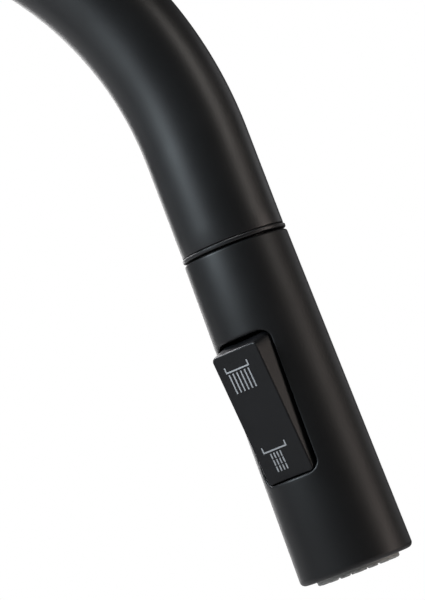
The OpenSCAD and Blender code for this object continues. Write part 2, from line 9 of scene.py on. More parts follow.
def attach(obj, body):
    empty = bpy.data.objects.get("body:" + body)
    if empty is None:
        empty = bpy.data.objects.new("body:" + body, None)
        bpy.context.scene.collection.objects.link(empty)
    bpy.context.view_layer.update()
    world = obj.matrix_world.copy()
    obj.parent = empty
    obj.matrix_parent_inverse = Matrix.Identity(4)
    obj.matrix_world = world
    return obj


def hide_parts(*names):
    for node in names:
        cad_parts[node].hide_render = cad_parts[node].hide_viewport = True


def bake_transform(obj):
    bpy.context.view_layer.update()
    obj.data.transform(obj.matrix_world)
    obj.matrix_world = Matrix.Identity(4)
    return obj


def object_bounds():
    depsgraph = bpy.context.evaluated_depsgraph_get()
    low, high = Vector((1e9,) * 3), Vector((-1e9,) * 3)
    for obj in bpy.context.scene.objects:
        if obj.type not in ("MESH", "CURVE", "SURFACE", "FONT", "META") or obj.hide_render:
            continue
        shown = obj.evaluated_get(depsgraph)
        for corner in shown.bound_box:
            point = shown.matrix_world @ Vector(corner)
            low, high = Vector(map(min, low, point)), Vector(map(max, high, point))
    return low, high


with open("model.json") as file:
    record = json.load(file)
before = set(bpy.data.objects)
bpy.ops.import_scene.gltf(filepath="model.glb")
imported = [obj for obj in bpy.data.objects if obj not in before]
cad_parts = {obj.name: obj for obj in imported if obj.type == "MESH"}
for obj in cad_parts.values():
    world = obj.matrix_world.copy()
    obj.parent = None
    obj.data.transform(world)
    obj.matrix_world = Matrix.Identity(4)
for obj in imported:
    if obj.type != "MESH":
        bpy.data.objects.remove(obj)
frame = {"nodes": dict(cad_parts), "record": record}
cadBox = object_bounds()
scene = bpy.context.scene
mm = 0.001
scene.view_settings.view_transform = "Standard"


# Camera, lights and floor

cameraView = {
    "place": (256.4, -899.6, 219.35),
    "yaw": -2.0,
    "pitch": 3.72,
    "roll": 0.16,
    "lens": 190.6,
    "sensor": 36,
    "clip": (0.01, 100),
}


def makeCamera(view):
    cameraData = bpy.data.cameras.new("camera")
    cameraData.lens = view["lens"]
    cameraData.sensor_width = view["sensor"]
    cameraData.clip_start, cameraData.clip_end = view["clip"]
    camera = bpy.data.objects.new("camera", cameraData)
    scene.collection.objects.link(camera)
    yaw, pitch, roll = (radians(view[k]) for k in ("yaw", "pitch", "roll"))
    forward = Vector((sin(yaw) * cos(pitch), cos(yaw) * cos(pitch), sin(pitch)))
    right = Vector((cos(yaw), -sin(yaw), 0))
    up = right.cross(forward)
    turnedRight = right * cos(roll) + up * sin(roll)
    turnedUp = up * cos(roll) - right * sin(roll)
    turn = Matrix((turnedRight, turnedUp, -forward)).transposed().to_4x4()
    camera.matrix_world = Matrix.Translation(Vector(view["place"]) * mm) @ turn
    scene.camera = camera


def softLight(name, place, target, size, power, tint):
    lightData = bpy.data.lights.new(name, "AREA")
    lightData.shape = "RECTANGLE"
    lightData.size, lightData.size_y = size
    lightData.energy = power
    lightData.color = tint
    light = bpy.data.objects.new(name, lightData)
    scene.collection.objects.link(light)
    aim = Vector(target) - Vector(place)
    light.matrix_world = Matrix.Translation(place) @ aim.to_track_quat("-Z", "Y").to_matrix().to_4x4()
    light.visible_camera = False


studio = {
    "skyForCamera": 1.0,
    "skyForObject": 0.045,
    "skyTint": (0.97, 0.985, 1),
    "target": (0.2, 0, 0.25),
    "lights": [
        ("nearLeft", (-0.15, -0.16, 0.43), (0.12, 0.12), 1.3, (0.82, 0.89, 1.0)),
        ("bendLight", (-0.12, -0.2, 0.36), (0.08, 0.1), 0.8, (0.8, 0.95, 1.0)),
        ("nearFront", (-0.1, -0.31, 0.37), (0.12, 0.16), 0.2, (0.85, 0.91, 1.0)),
        ("rightHigh", (2.03, -0.67, 1.7), (0.62, 0.9), 7, (1.0, 0.95, 0.9)),
        ("rightLow", (2.14, -0.17, 0.4), (0.62, 1.2), 10, (1.0, 0.87, 0.8)),
        ("rimRight", (0.78, 0.69, 0.6), (0.3, 0.5), 0.3, (0.97, 0.97, 1.0)),
        ("backLow", (-0.47, 1.83, 0.45), (0.62, 1.2), 7.5, (1.0, 0.99, 0.99)),
        ("backHigh", (-1.18, 1.38, 1.7), (0.62, 0.9), 24, (0.97, 0.96, 1.0)),
        ("topSoftbox", (-0.35, 0.1, 1.7), (0.6, 0.6), 12, (1.0, 1.0, 1.0)),
    ],
    "paperTone": (0.86, 0.86, 0.85),
    "paperRough": 0.85,
    "paperGlow": 0.74,
    "bounceTone": (0.66, 0.66, 0.66),
    "floorSize": 8.0,
    "floorDrop": 0.065,
}


def mixByRay(tree, others, seen, out):
    # the camera sees one shader and every other ray meets another
    ray = tree.nodes.new("ShaderNodeLightPath")
    mix = tree.nodes.new("ShaderNodeMixShader")
    tree.links.new(ray.outputs["Is Camera Ray"], mix.inputs[0])
    tree.links.new(others.outputs[0], mix.inputs[1])
    tree.links.new(seen.outputs[0], mix.inputs[2])
    tree.links.new(mix.outputs[0], out.inputs["Surface"])


def makeSky(settings):
    world = bpy.data.worlds.new("studioWorld")
    world.use_nodes = True
    scene.world = world
    tree = world.node_tree
    tree.nodes.clear()
    skies = []
    for use, tint in (("skyForObject", settings["skyTint"]), ("skyForCamera", (1, 1, 1))):
        sky = tree.nodes.new("ShaderNodeBackground")
        sky.inputs["Strength"].default_value = settings[use]
        sky.inputs["Color"].default_value = (*tint, 1)
        skies.append(sky)
    mixByRay(tree, *skies, tree.nodes.new("ShaderNodeOutputWorld"))


def makePaper(settings):
    paper = bpy.data.materials.new("studioPaper")
    paper.use_nodes = True
    tree = paper.node_tree
    sheet = tree.nodes["Principled BSDF"]
    sheet.inputs["Base Color"].default_value = (*settings["paperTone"], 1)
    sheet.inputs["Roughness"].default_value = settings["paperRough"]
    sheet.inputs["Emission Color"].default_value = (1, 1, 1, 1)
    sheet.inputs["Emission Strength"].default_value = settings["paperGlow"]
    plain = tree.nodes.new("ShaderNodeBsdfDiffuse")
    plain.inputs["Color"].default_value = (*settings["bounceTone"], 1)
    mixByRay(tree, plain, sheet, tree.nodes["Material Output"])
    return paper


def makeStudio(settings):
    makeSky(settings)
    for name, place, size, power, tint in settings["lights"]:
        softLight(name, place, settings["target"], size, power, tint)
    bm = bmesh.new()
    bmesh.ops.create_grid(bm, x_segments=4, y_segments=4, size=settings["floorSize"] / 2)
    bmesh.ops.translate(bm, verts=bm.verts, vec=(0, 0, cadBox[0].z - settings["floorDrop"]))
    mesh = bpy.data.meshes.new("floor")
    bm.to_mesh(mesh)
    bm.free()
    mesh.materials.append(makePaper(settings))
    floor = bpy.data.objects.new("floor", mesh)
    scene.collection.objects.link(floor)


makeCamera(cameraView)
makeStudio(studio)
print("camera and lights are up")


# Node helpers

def wire(tree, socket, value):
    if isinstance(value, bpy.types.NodeSocket):
        tree.links.new(value, socket)
    else:
        socket.default_value = value


def calcIn(tree):
    # makes the maths nodes of one tree
    def calc(kind, *values):
        node = tree.nodes.new("ShaderNodeMath")
        node.operation = kind
        for socket, value in zip(node.inputs, values):
            wire(tree, socket, value)
        return node.outputs[0]
    return calc


def splitVector(tree, source):
    parts = tree.nodes.new("ShaderNodeSeparateXYZ")
    tree.links.new(source, parts.inputs[0])
    return parts.outputs


# Materials

def newFinish(name, color, rough, metal=0.0, specular=0.5):
    finish = bpy.data.materials.new(name)
    finish.use_nodes = True
    tree = finish.node_tree
    shader = tree.nodes["Principled BSDF"]
    shader.inputs["Base Color"].default_value = (*color, 1)
    shader.inputs["Roughness"].default_value = rough
    shader.inputs["Metallic"].default_value = metal
    shader.inputs["Specular IOR Level"].default_value = specular
    return finish, tree, shader


def objectNoise(tree, scale, detail=2.0, stretch=(1, 1, 1)):
    place = tree.nodes.new("ShaderNodeTexCoord")
    mapping = tree.nodes.new("ShaderNodeMapping")
    mapping.inputs["Scale"].default_value = stretch
    noise = tree.nodes.new("ShaderNodeTexNoise")
    noise.inputs["Scale"].default_value = scale
    noise.inputs["Detail"].default_value = detail
    tree.links.new(place.outputs["Object"], mapping.inputs["Vector"])
    tree.links.new(mapping.outputs["Vector"], noise.inputs["Vector"])
    return noise.outputs["Fac"]


def spread(tree, source, low, high):
    ramp = tree.nodes.new("ShaderNodeMapRange")
    ramp.inputs["From Min"].default_value = 0.3
    ramp.inputs["From Max"].default_value = 0.7
    ramp.inputs["To Min"].default_value = low
    ramp.inputs["To Max"].default_value = high
    tree.links.new(source, ramp.inputs["Value"])
    return ramp.outputs["Result"]


def shade(tree, shader, source, dark, light):
    mix = tree.nodes.new("ShaderNodeMix")
    mix.data_type = "RGBA"
    mix.inputs[6].default_value = (*dark, 1)
    mix.inputs[7].default_value = (*light, 1)
    tree.links.new(source, mix.inputs[0])
    tree.links.new(mix.outputs[2], shader.inputs["Base Color"])


def bump(tree, shader, source, depth):
    node = tree.nodes.new("ShaderNodeBump")
    node.inputs["Distance"].default_value = depth
    node.inputs["Strength"].default_value = 1.0
    tree.links.new(source, node.inputs["Height"])
    tree.links.new(node.outputs["Normal"], shader.inputs["Normal"])


# scale and detail of each noise
noises = {"paintCloud": (60, 3), "paintTone": (25, 2), "metalTone": (90, 4), "mouldTone": (140, 3)}


def varyTone(tree, shader, noise, dark, light):
    shade(tree, shader, spread(tree, objectNoise(tree, *noises[noise]), 0, 1), dark, light)


def times(color, share):
    return [c * share for c in color]


def paintedFinish(name, color, rough, grain, depth, specular=0.5):
    finish, tree, shader = newFinish(name, color, rough[0], specular=specular)
    cloud = objectNoise(tree, *noises["paintCloud"])
    tree.links.new(spread(tree, cloud, *rough), shader.inputs["Roughness"])
    varyTone(tree, shader, "paintTone", times(color, 0.9), times(color, 1.12))
    bump(tree, shader, objectNoise(tree, grain, 2), depth)
    return finish


def machinedFinish(name, dark, light, rough, grain=9000, depth=2e-6, stretch=(1, 1, 18)):
    finish, tree, shader = newFinish(name, light, rough[0], 1.0)
    marks = objectNoise(tree, grain / stretch[2], 3, stretch)
    tree.links.new(spread(tree, marks, *rough), shader.inputs["Roughness"])
    varyTone(tree, shader, "metalTone", dark, light)
    bump(tree, shader, marks, depth)
    return finish


def mouldedFinish(name, color, rough, grain=1600, depth=6e-6, specular=0.5):
    finish, tree, shader = newFinish(name, color, rough, specular=specular)
    varyTone(tree, shader, "mouldTone", times(color, 0.88), times(color, 1.1))
    bump(tree, shader, objectNoise(tree, grain, 2), depth)
    return finish


finishes = {
    "body_black": paintedFinish("powderCoat", (0.0085, 0.0087, 0.0092), (0.36, 0.42), 2600, 7e-6, 0.55),
    "shell_black": paintedFinish("shellCoat", (0.0075, 0.0075, 0.0079), (0.42, 0.48), 3000, 5e-6, 0.42),
    "button_black": mouldedFinish("buttonSatin", (0.0065, 0.0065, 0.0073), 0.38, 3200, 3e-6, 0.34),
    "seal_rubber": mouldedFinish("sealRubber", (0.012, 0.012, 0.0125), 0.62, 900, 1.5e-5, 0.35),
    "brass": machinedFinish("turnedBrass", (0.52, 0.36, 0.14), (0.70, 0.52, 0.24), (0.22, 0.38)),
    "steel": machinedFinish("turnedSteel", (0.42, 0.43, 0.44), (0.62, 0.63, 0.64), (0.2, 0.36)),
    "index_chrome": machinedFinish("polishedChrome", (0.72, 0.73, 0.74), (0.8, 0.8, 0.81), (0.05, 0.1)),
    "white_plastic": mouldedFinish("naturalAcetal", (0.68, 0.67, 0.62), 0.42),
    "dark_plastic": mouldedFinish("blackAcetal", (0.016, 0.016, 0.018), 0.42),
    "ceramic": mouldedFinish("lappedAlumina", (0.8, 0.77, 0.71), 0.16, 2600, 1e-6),
    "nozzle_silicone": mouldedFinish("greySilicone", (0.30, 0.305, 0.295), 0.5, 1500, 1e-5, 0.4),
    "aerator_plastic": mouldedFinish("greyMoulding", (0.19, 0.19, 0.19), 0.4),
    "hose_braid": mouldedFinish("braidedNylon", (0.05, 0.05, 0.055), 0.5),
}
printGrey = mouldedFinish("printGrey", (0.36, 0.36, 0.365), 0.5, 4000, 1e-6)


def braidFinish(finish, axisPoint, axis, pitch, strands):
    tree = finish.node_tree
    shader = tree.nodes["Principled BSDF"]
    place = tree.nodes.new("ShaderNodeTexCoord")
    mapping = tree.nodes.new("ShaderNodeMapping")
    mapping.vector_type = "TEXTURE"
    turn = Vector(axis).to_track_quat("Z", "Y").to_euler()
    mapping.inputs["Location"].default_value = axisPoint
    mapping.inputs["Rotation"].default_value = turn
    tree.links.new(place.outputs["Object"], mapping.inputs["Vector"])
    x, y, z = splitVector(tree, mapping.outputs["Vector"])
    calc = calcIn(tree)
    angle = calc("MULTIPLY", calc("ARCTAN2", y, x), strands / (2 * pi))
    run = calc("DIVIDE", z, pitch)
    left = calc("ADD", angle, run)
    right = calc("SUBTRACT", angle, run)

    def strand(source):
        return calc("SINE", calc("MULTIPLY", calc("PINGPONG", source, 0.5), 2 * pi))

    # odd and even crossings swap which strand lies on top
    crossing = calc("ADD", calc("FLOOR", left), calc("FLOOR", right))
    over = calc("GREATER_THAN", calc("SINE", calc("MULTIPLY", crossing, pi / 2 + 0.01)), 0)
    under = calc("SUBTRACT", 1, over)
    height = calc("MAXIMUM", calc("MULTIPLY", strand(left), over), calc("MULTIPLY", strand(right), under))
    height = calc("MAXIMUM", height, 0.0)
    # the base colour follows the strand height: painted shade in the gaps and along strand edges, lighter on
    # the strand crowns
    shade(tree, shader, height, (0.012, 0.012, 0.013), (0.075, 0.075, 0.08))
    bump(tree, shader, height, 2.5e-4)


# Shape helpers

def pick(size, names):
    return [size[name] for name in names.split()]


def spot(where, x, y, z):
    return where @ (Vector((x, y, z)) * mm)


def place(name, bm, body, slot, smoothBelow=32, finish=None):
    mesh = bpy.data.meshes.new(name)
    bmesh.ops.remove_doubles(bm, verts=bm.verts, dist=2e-7)
    bmesh.ops.recalc_face_normals(bm, faces=bm.faces)
    for edge in bm.edges:
        edge.smooth = not (edge.is_manifold and edge.calc_face_angle(0) > radians(smoothBelow))
    for face in bm.faces:
        face.smooth = True
    bm.to_mesh(mesh)
    bm.free()
    piece = bpy.data.objects.new(name, mesh)
    scene.collection.objects.link(piece)
    mesh.materials.append(finish or finishes[slot])
    if body:
        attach(piece, body)
    return piece


def rounded(corners, steps=5):
    # corners are (radius, height, fillet) of a closed outline, in mm
    points = []
    count = len(corners)
    for i, (r, z, fillet) in enumerate(corners):
        here = Vector((r, z))
        if not fillet:
            points.append((r, z))
            continue
        before = Vector(corners[i - 1][:2]) - here
        after = Vector(corners[(i + 1) % count][:2]) - here
        half = before.angle(after) / 2
        back = min(fillet / tan(half), before.length * 0.499, after.length * 0.499)
        size = back * tan(half)
        middle = here + (before.normalized() + after.normalized()).normalized() * (size / sin(half))
        start = here + before.normalized() * back - middle
        end = here + after.normalized() * back - middle
        turn = start.angle_signed(end)
        for k in range(steps + 1):
            spoke = start.copy()
            spoke.rotate(Matrix.Rotation(-turn * k / steps, 2))
            points.append(tuple(middle + spoke))
    return points


def sweepRound(bm, outline, where, steps=96):
    # turns an outline in mm about the z axis of a frame
    rows = []
    for r, z in outline:
        if r < 1e-6:
            rows.append([bm.verts.new(where @ Vector((0, 0, z * mm)))])
            continue
        rows.append([bm.verts.new(where @ Vector((r * mm * cos(a), r * mm * sin(a), z * mm)))
            for a in (2 * pi * k / steps for k in range(steps))])
    for low, high in zip(rows, rows[1:] + rows[:1]):
        if len(low) == 1 and len(high) == 1:
            continue
        for k in range(steps):
            n = (k + 1) % steps
            quad = [low[k % len(low)], low[n % len(low)], high[n % len(high)], high[k % len(high)]]
            corners = list(dict.fromkeys(quad))
            if len(corners) > 2:
                bm.faces.new(corners)


def turned(name, corners, where, body, slot, steps=96, arcSteps=5):
    bm = bmesh.new()
    sweepRound(bm, rounded(corners, arcSteps), where, steps)
    return place(name, bm, body, slot)


def sheetOf(bm, rows, loop=False):
    # joins rows of points with faces
    made = [[bm.verts.new(p) for p in row] for row in rows]
    for low, high in zip(made, made[1:]):
        count = len(low)
        for k in range(count if loop else count - 1):
            n = (k + 1) % count
            bm.faces.new((low[k], low[n], high[n], high[k]))
    return made


def boxOutline(width, length, corner, across, along):
    # points round a rounded rectangle (y, z) from mid-corner to mid-corner, as a function of the offset
    def at(offset):
        w, l, r = width / 2 + offset, length / 2 + offset, max(corner + offset, 0.01)
        quarter = pi * r / 4
        sides = []
        for facing in range(4):
            half, other, count = (l, w, along) if facing % 2 else (w, l, across)
            flat = half - r
            total = 2 * (flat + quarter)
            for k in range(count):
                s = total * k / count
                if s < quarter:
                    a = -pi / 4 + s / r
                    p = (-flat + r * sin(a), other - r + r * cos(a))
                elif s <= quarter + 2 * flat:
                    p = (-flat + s - quarter, other)
                else:
                    a = (s - quarter - 2 * flat) / r
                    p = (flat + r * sin(a), other - r + r * cos(a))
                turn = -facing * pi / 2
                sides.append((p[0] * cos(turn) - p[1] * sin(turn), p[0] * sin(turn) + p[1] * cos(turn)))
        return sides
    return at


def piercedWall(bm, where, radiusAt, low, high, openings, around):
    # a turned wall from height low to high with openings; each opening says turn, centre, outline, rings,
    # half, across, along and morph, and its rings are (offset, height over the wall, fixed x or None)
    along = openings[0]["along"]
    heights = [low + (high - low) * k / along for k in range(along + 1)]
    spans = []
    for opening in openings:
        turn, half, across = opening["turn"], opening["half"], opening["across"]
        angles = [-half + 2 * half * k / across for k in range(across + 1)]
        window = [(a, high) for a in angles[:-1]] + [(half, z) for z in heights[:0:-1]]
        window += [(a, low) for a in angles[:0:-1]] + [(-half, z) for z in heights[:-1]]
        rows = []
        for offset, lift, fixed in opening["rings"]:
            row = []
            for y, z in opening["outline"](offset):
                z += opening["centre"]
                r = radiusAt(z)
                x = fixed if fixed is not None else sqrt(max(r * r - y * y, 0)) + lift
                row.append((x, y, z))
            rows.append(row)
        last = [(asin(y / radiusAt(z)), z) for _, y, z in rows[-1]]
        for k in range(1, opening["morph"] + 1):
            u = k / opening["morph"]
            row = []
            for (a0, z0), (a1, z1) in zip(last, window):
                a, z = a0 + (a1 - a0) * u, z0 + (z1 - z0) * u
                r = radiusAt(z)
                row.append((r * cos(a), r * sin(a), z))
            rows.append(row)
        spin = where @ Matrix.Rotation(turn, 4, "Z")
        made = sheetOf(bm, [[spot(spin, *p) for p in row] for row in rows], loop=True)
        if opening.get("cap"):
            bm.faces.new(made[0])
        spans.append((turn - half, turn + half, [turn + a for a in angles]))
    spans.sort()
    allAngles = []
    for k, (_, end, angles) in enumerate(spans):
        nextStart = spans[(k + 1) % len(spans)][0] + (2 * pi if k == len(spans) - 1 else 0)
        gap = max(2, round(around * (nextStart - end) / (2 * pi)))
        between = [end + (nextStart - end) * j / gap for j in range(gap + 1)]
        sheetOf(bm, [[spot(where, radiusAt(z) * cos(a), radiusAt(z) * sin(a), z) for a in between]
            for z in heights])
        allAngles += angles[:-1] + between[:-1]
    return allAngles


def ringRows(bm, where, outline, angles):
    # an open turned strip that shares the given angles
    rows = [[spot(where, r * cos(a), r * sin(a), z) for a in angles] if r > 1e-6
        else [spot(where, 0, 0, z)] * len(angles) for r, z in outline]
    sheetOf(bm, rows, loop=True)


def filletRings(size, lift=-1, steps=6):
    # offset and height of a rounded edge, from its wall out to the surface
    return [(size * (1 - cos(a)), lift * size * (1 - sin(a)), None)
        for a in (pi / 2 * k / steps for k in range(steps + 1))]


# Frames that the wand, rocker and lever are made in

layout = {
    "bendRadius": 114,
    "bendHeight": 280.75,
    "tipAngle": 21,
    "tipStraight": 29,
    "wandDrop": 1.95,
    "rockerTurn": -126,
    "rockerTilt": 6.7,
    "pivotOut": 9,
    "pivotDrop": 46.1,
    "leverHeight": 62,
}
tipAngle = radians(layout["tipAngle"])
bendRadius, tipStraight = layout["bendRadius"], layout["tipStraight"]
tipPoint = Vector((bendRadius * (1 + cos(tipAngle)) + tipStraight * sin(tipAngle), 0,
    layout["bendHeight"] + bendRadius * sin(tipAngle) - tipStraight * cos(tipAngle)))
atTip = Matrix.Translation(tipPoint * mm) @ Matrix.Rotation(-tipAngle, 4, "Y")
atWand = atTip @ Matrix.Translation((0, 0, -layout["wandDrop"] * mm))
atRockerSide = atWand @ Matrix.Rotation(radians(layout["rockerTurn"]), 4, "Z")
atRocker = (atRockerSide @ Matrix.Translation((layout["pivotOut"] * mm, 0, -layout["pivotDrop"] * mm))
    @ Matrix.Rotation(radians(layout["rockerTilt"]), 4, "Y"))
atLever = Matrix.Translation((0, 0, layout["leverHeight"] * mm)) @ Matrix.Rotation(-pi / 2, 4, "X")
upright = Matrix.Identity(4)


# Geometry Nodes helpers

def startTree(name, sockets):
    tree = bpy.data.node_groups.new(name, "GeometryNodeTree")
    tree.interface.new_socket("Geometry", in_out="OUTPUT", socket_type="NodeSocketGeometry")
    tree.interface.new_socket("Geometry", in_out="INPUT", socket_type="NodeSocketGeometry")
    for label, kind in sockets:
        tree.interface.new_socket(label, in_out="INPUT", socket_type="NodeSocket" + kind)
    return tree, tree.nodes.new("NodeGroupInput"), tree.nodes.new("NodeGroupOutput")


def vectorOf(tree, x, y, z):
    node = tree.nodes.new("ShaderNodeCombineXYZ")
    for socket, value in zip(node.inputs, (x, y, z)):
        wire(tree, socket, value)
    return node.outputs[0]


def positionIn(tree):
    return splitVector(tree, tree.nodes.new("GeometryNodeInputPosition").outputs[0])


def moveTo(tree, geometry, x, y, z):
    move = tree.nodes.new("GeometryNodeSetPosition")
    tree.links.new(geometry, move.inputs["Geometry"])
    tree.links.new(vectorOf(tree, x, y, z), move.inputs["Position"])
    return move.outputs[0]


def copyOnto(tree, points, piece, turn=None):
    copies = tree.nodes.new("GeometryNodeInstanceOnPoints")
    tree.links.new(points, copies.inputs["Points"])
    tree.links.new(piece, copies.inputs["Instance"])
    if turn is not None:
        tree.links.new(turn, copies.inputs["Rotation"])
    return copies.outputs[0]


def finishTree(tree, source, out, finish):
    realize = tree.nodes.new("GeometryNodeRealizeInstances")
    coat = tree.nodes.new("GeometryNodeSetMaterial")
    coat.inputs["Material"].default_value = finish
    tree.links.new(source, realize.inputs[0])
    tree.links.new(realize.outputs[0], coat.inputs["Geometry"])
    tree.links.new(coat.outputs[0], out.inputs[0])
    return tree


def grow(name, base, tree, values, body, slot, smoothBelow=32, where=None, finish=None):
    # runs a tree on a base mesh and keeps the result as a plain mesh
    carrier = bpy.data.objects.new(name + "Base", base)
    scene.collection.objects.link(carrier)
    modifier = carrier.modifiers.new("grow", "NODES")
    modifier.node_group = tree
    for item in tree.interface.items_tree:
        if item.item_type == "SOCKET" and item.in_out == "INPUT" and item.name in values:
            modifier[item.identifier] = values[item.name]
    result = bpy.data.meshes.new_from_object(carrier.evaluated_get(bpy.context.evaluated_depsgraph_get()))
    carrier.modifiers.remove(modifier)
    bpy.data.objects.remove(carrier)
    bm = bmesh.new()
    bm.from_mesh(result)
    if where is not None:
        bm.transform(where)
    return place(name, bm, body, slot, smoothBelow, finish)


def plainMesh(name, bm):
    mesh = bpy.data.meshes.new(name)
    bm.to_mesh(mesh)
    bm.free()
    return mesh


def alongNeckTree(finish):
    # a flat sheet (distance along, angle round, radius) is laid round the neck's riser, bend and straight
    tree, given, out = startTree("alongNeck", [("Bend Radius", "Float"), ("Riser Length", "Float"),
        ("Bend Angle", "Float"), ("Start Height", "Float")])
    calc = calcIn(tree)
    run, angle, radius = positionIn(tree)
    bendRadius, riser, bendAngle, startHeight = given.outputs[1:5]
    past = calc("SUBTRACT", run, riser)
    turn = calc("MINIMUM", calc("MAXIMUM", calc("DIVIDE", past, bendRadius), 0.0), bendAngle)
    rise = calc("MINIMUM", run, riser)
    tail = calc("MAXIMUM", calc("SUBTRACT", past, calc("MULTIPLY", bendAngle, bendRadius)), 0.0)
    outward = calc("MULTIPLY", radius, calc("COSINE", angle))
    sideways = calc("MULTIPLY", radius, calc("SINE", angle))
    cosTurn, sinTurn = calc("COSINE", turn), calc("SINE", turn)
    reach = calc("ADD", bendRadius, outward)
    x = calc("SUBTRACT", bendRadius, calc("MULTIPLY", reach, cosTurn))
    x = calc("ADD", x, calc("MULTIPLY", tail, sinTurn))
    z = calc("ADD", calc("ADD", startHeight, rise), calc("MULTIPLY", reach, sinTurn))
    z = calc("ADD", z, calc("MULTIPLY", tail, cosTurn))
    moved = moveTo(tree, given.outputs[0], x, sideways, z)
    return finishTree(tree, moved, out, finish)


def threadTree(finish):
    # cuts a helical thread into the outer wall of a turned piece, between two heights
    tree, given, out = startTree("cutThread", [("Pitch", "Float"), ("Depth", "Float"),
        ("Outer Radius", "Float"), ("Low", "Float"), ("High", "Float"), ("Run Out", "Float")])
    calc = calcIn(tree)
    x, y, z = positionIn(tree)
    pitch, depth, outer, low, high, runOut = given.outputs[1:7]

    def clamped(value):
        return calc("MINIMUM", calc("MAXIMUM", value, 0.0), 1.0)

    radius = calc("SQRT", calc("ADD", calc("MULTIPLY", x, x), calc("MULTIPLY", y, y)))
    turn = calc("DIVIDE", calc("ARCTAN2", y, x), 2 * pi)
    phase = calc("SUBTRACT", calc("DIVIDE", z, pitch), turn)
    tooth = calc("MULTIPLY", calc("PINGPONG", phase, 0.5), 2.0)
    flank = calc("MULTIPLY_ADD", tooth, 1.35, -0.18)
    flank = clamped(flank)
    fromLow = calc("DIVIDE", calc("SUBTRACT", z, low), runOut)
    fromHigh = calc("DIVIDE", calc("SUBTRACT", high, z), runOut)
    fade = clamped(calc("MINIMUM", fromLow, fromHigh))
    onWall = calc("GREATER_THAN", radius, calc("SUBTRACT", outer, 0.00005))
    cut = calc("MULTIPLY", calc("MULTIPLY", flank, depth), calc("MULTIPLY", fade, onWall))
    scale = calc("DIVIDE", calc("SUBTRACT", radius, cut), radius)
    moved = moveTo(tree, given.outputs[0], calc("MULTIPLY", x, scale), calc("MULTIPLY", y, scale), z)
    return finishTree(tree, moved, out, finish)


def ringTree(name, finish):
    # repeats the given piece round the z axis
    tree, given, out = startTree(name, [("Count", "Int"), ("Radius", "Float"), ("Start Angle", "Float"),
        ("Height", "Float")])
    piece, count, radius, start, height = given.outputs[0:5]
    calc = calcIn(tree)
    line = tree.nodes.new("GeometryNodeMeshLine")
    tree.links.new(count, line.inputs["Count"])
    index = tree.nodes.new("GeometryNodeInputIndex")
    share = calc("DIVIDE", index.outputs[0], count)
    angle = calc("MULTIPLY_ADD", share, 2 * pi, start)
    x = calc("MULTIPLY", radius, calc("COSINE", angle))
    y = calc("MULTIPLY", radius, calc("SINE", angle))
    points = moveTo(tree, line.outputs[0], x, y, height)
    copies = copyOnto(tree, points, piece, vectorOf(tree, 0.0, 0.0, angle))
    return finishTree(tree, copies, out, finish)


def rowTree(name, finish):
    # repeats the given piece in columns across y and rows along z
    tree, given, out = startTree(name, [("Columns", "Int"), ("Column Gap", "Float"), ("Rows", "Int"),
        ("Row Gap", "Float")])
    piece, columns, columnGap, rows, rowGap = given.outputs[0:5]
    calc = calcIn(tree)
    grid = tree.nodes.new("GeometryNodeMeshGrid")
    for side, count, gap in (("X", columns, columnGap), ("Y", rows, rowGap)):
        tree.links.new(calc("MULTIPLY", gap, calc("SUBTRACT", count, 1.0)), grid.inputs["Size " + side])
        tree.links.new(count, grid.inputs["Vertices " + side])
    across, up, _ = positionIn(tree)
    points = moveTo(tree, grid.outputs[0], 0.0, across, up)
    return finishTree(tree, copyOnto(tree, points, piece), out, finish)


def ringOf(name, base, count, body, slot, where=None, radius=0, start=0.0, height=0):
    # a ring of copies; lengths are in mm and the start angle in radians
    values = {"Count": count, "Radius": radius * mm, "Start Angle": start, "Height": height * mm}
    grow(name, base, ringTree(name + "Ring", finishes[slot]), values, body, slot, where=where)


# Neck tube

neck = {
    "radius": 15.25,
    "bore": 14.05,
    "foot": 106.2,
    "endEdge": 0.35,
    "around": 128,
    "bendRings": 150,
    "riserRings": 24,
    "endRings": 5,
}
riser = layout["bendHeight"] - neck["foot"]
bendAngle = pi - tipAngle
neckValues = {"Bend Radius": bendRadius * mm, "Riser Length": riser * mm, "Bend Angle": bendAngle,
    "Start Height": neck["foot"] * mm}


def sheetAlongNeck(stations, around):
    # closed sheet whose rows are (distance, radius) in mm
    bm = bmesh.new()
    rows = [[Vector((s * mm, 2 * pi * k / around, r * mm)) for k in range(around + 1)] for s, r in stations]
    sheetOf(bm, rows + rows[:1])
    return bm


def makeNeck(size):
    arc = bendRadius * bendAngle
    total = riser + arc + tipStraight
    runs = []
    for start, length, count, last in ((0, riser, size["riserRings"], 1),
            (riser, arc, size["bendRings"], 1), (riser + arc, tipStraight, size["endRings"], 0)):
        runs += [start + length * k / count for k in range(1, count + last)]
    radius, corner = pick(size, "radius endEdge")
    edge = [(total - corner * (1 - sin(a)), radius - corner * (1 - cos(a)))
        for a in (pi / 2 * k / 5 for k in range(6))]
    outer = [(0, radius)] + [(s, radius) for s in runs] + edge
    inner = [(s, size["bore"]) for s, _ in reversed(outer[:-len(edge)])]
    stations = outer + [(total, size["bore"])] + inner
    base = plainMesh("neckSheet", sheetAlongNeck(stations, size["around"]))
    piece = grow("neckTube", base, alongNeckTree(finishes["body_black"]), neckValues, "spout", "body_black")
    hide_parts("neck_tube")


makeNeck(neck)
print("neck is made")


# Ring at the neck's end that the wand docks against

dockRing = {"inner": 11.8, "outer": 15.55, "thick": 1.35, "edge": 0.3, "groove": 0.14, "land": 0.9}


def makeDockRing(size):
    outer, inner, thick, groove = pick(size, "outer inner thick groove")
    return turned("dockRing", [
        (inner, 0, 0), (inner, -thick, 0.2), (outer, -thick, 0.45), (outer, -groove - size["edge"], 0.08),
        (outer - size["edge"], -groove, 0.08), (outer - size["land"], -groove, 0.06),
        (outer - size["land"], 0, 0),
    ], atTip, "spout", "body_black", steps=128)


piece = makeDockRing(dockRing)
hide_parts("dock_collar")


# Wand shell with its rounded opening for the rocker

